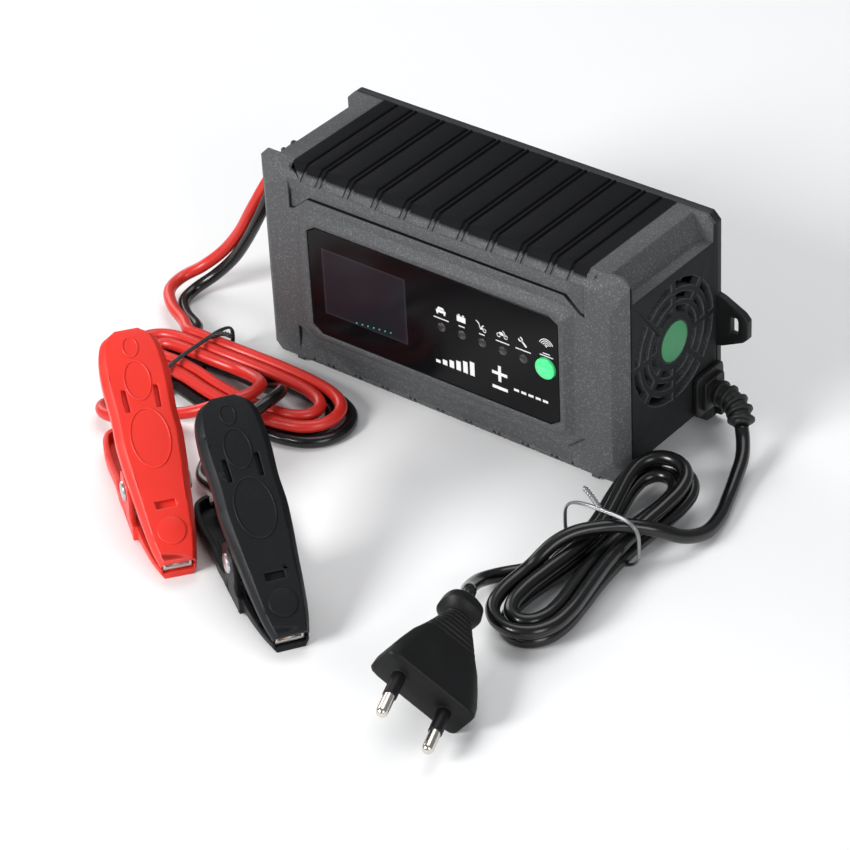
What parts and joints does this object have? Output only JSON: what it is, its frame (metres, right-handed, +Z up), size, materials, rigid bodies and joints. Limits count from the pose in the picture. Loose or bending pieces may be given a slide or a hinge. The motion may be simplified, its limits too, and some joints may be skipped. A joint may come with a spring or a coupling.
{
  "type": "car battery charger",
  "caption": "Mains car battery charger: ribbed plastic housing with a fan, display window and mode button, a mains lead with a two-pin plug, and two leads with spring clamps.",
  "frame": {"origin": "on the surface that the housing stands on, under the middle of the housing with its mounting ears", "axes": "+X along the housing towards the fan and the mains lead, -Y out of the display, +Z up"},
  "size_m": [0.2545, 0.2175, 0.0845],
  "materials": {
    "housing": "fine moulded texture with a slight sparkle",
    "black_plastic": "fine matt texture",
    "panel_gloss": "polished",
    "screen": "polished, unlit",
    "button_lit": "satin, lit from behind",
    "lamp_clear": "clear, unlit",
    "board": "solder mask",
    "ferrite": "sintered",
    "winding_tape": "smooth tape",
    "aluminium": "extruded",
    "capacitor_sleeve": "shrunk sleeve",
    "copper": "enamelled wire",
    "sticker_green": "printed film",
    "steel": "zinc plated",
    "lead_black": "satin",
    "lead_red": "satin",
    "tie_silver": "thin plastic over wire",
    "tie_black": "thin plastic over wire",
    "plug_black": "satin, moulded",
    "pin_nickel": "nickel plated",
    "clamp_red": "satin, moulded",
    "clamp_black": "satin, moulded",
    "jaw_steel": "plated sheet",
    "jaw_copper": "copper plated sheet"
  },
  "bodies": {
    "root": {"front_shell": "housing", "back_plate": "black_plastic", "back_screw_1": "steel", "back_screw_2": "steel", "back_screw_3": "steel", "back_screw_4": "steel", "front_window": "panel_gloss", "screen_module": "screen", "mode_switch": "black_plastic", "lamp_1": "lamp_clear", "lamp_2": "lamp_clear", "lamp_3": "lamp_clear", "lamp_4": "lamp_clear", "lamp_5": "lamp_clear", "display_board": "board", "main_board": "board", "transformer_core": "ferrite", "transformer_winding": "winding_tape", "heat_sink_1": "aluminium", "heat_sink_2": "aluminium", "input_capacitor": "capacitor_sleeve", "output_capacitor_1": "capacitor_sleeve", "output_capacitor_2": "capacitor_sleeve", "choke": "copper", "fuse": "steel", "fan_frame": "black_plastic", "fan_sticker": "sticker_green", "mains_strain_relief": "black_plastic", "output_strain_relief": "black_plastic", "mains_lead_first": "lead_black", "mains_hank": "lead_black", "mains_lead_last": "lead_black", "hank_tie": "tie_silver", "plug_body": "plug_black", "plug_pin_1": "pin_nickel", "plug_pin_2": "pin_nickel", "red_lead_first": "lead_red", "red_lead_coil": "lead_red", "red_lead_last": "lead_red", "black_lead_first": "lead_black", "black_lead_coil": "lead_black", "black_lead_last": "lead_black", "lead_tie": "tie_black", "red_clamp_lower_handle": "clamp_red", "red_clamp_lower_jaw": "jaw_steel", "red_clamp_pivot_pin": "steel", "red_clamp_spring": "steel", "red_clamp_boot": "lead_red", "black_clamp_lower_handle": "clamp_black", "black_clamp_lower_jaw": "jaw_steel", "black_clamp_pivot_pin": "steel", "black_clamp_spring": "steel", "black_clamp_boot": "lead_black"},
    "fan": {"fan_rotor": "black_plastic"},
    "button": {"mode_button": "button_lit"},
    "red_clamp_upper": {"red_clamp_upper_handle": "clamp_red", "red_clamp_upper_jaw": "jaw_copper"},
    "black_clamp_upper": {"black_clamp_upper_handle": "clamp_black", "black_clamp_upper_jaw": "jaw_copper"}
  },
  "joints": [
    {"name": "fan_spin", "type": "hinge", "parent": "root", "child": "fan", "pos_m": [0.0715, 0.00205, 0.0473], "axis": [1, 0, 0], "continuous": true},
    {"name": "mode_button_push", "type": "slide", "parent": "root", "child": "button", "axis": [0, 1, 0], "range_m": [0, 0.0006], "stiffness_N_per_m": 1500, "springref_m": -0.0006},
    {"name": "red_clamp_hinge", "type": "hinge", "parent": "root", "child": "red_clamp_upper", "pos_m": [-0.04296, -0.12959, 0.0154], "axis": [-0.6018, -0.7986, 0], "range_deg": [0, 35], "stiffness_Nm_per_rad": 0.25, "springref_deg": -20.05, "deforming": ["red_clamp_spring"]},
    {"name": "black_clamp_hinge", "type": "hinge", "parent": "root", "child": "black_clamp_upper", "pos_m": [0.01232, -0.14013, 0.0154], "axis": [-0.549, -0.8358, 0], "range_deg": [0, 35], "stiffness_Nm_per_rad": 0.25, "springref_deg": -20.05, "deforming": ["black_clamp_spring"]}
  ]
}
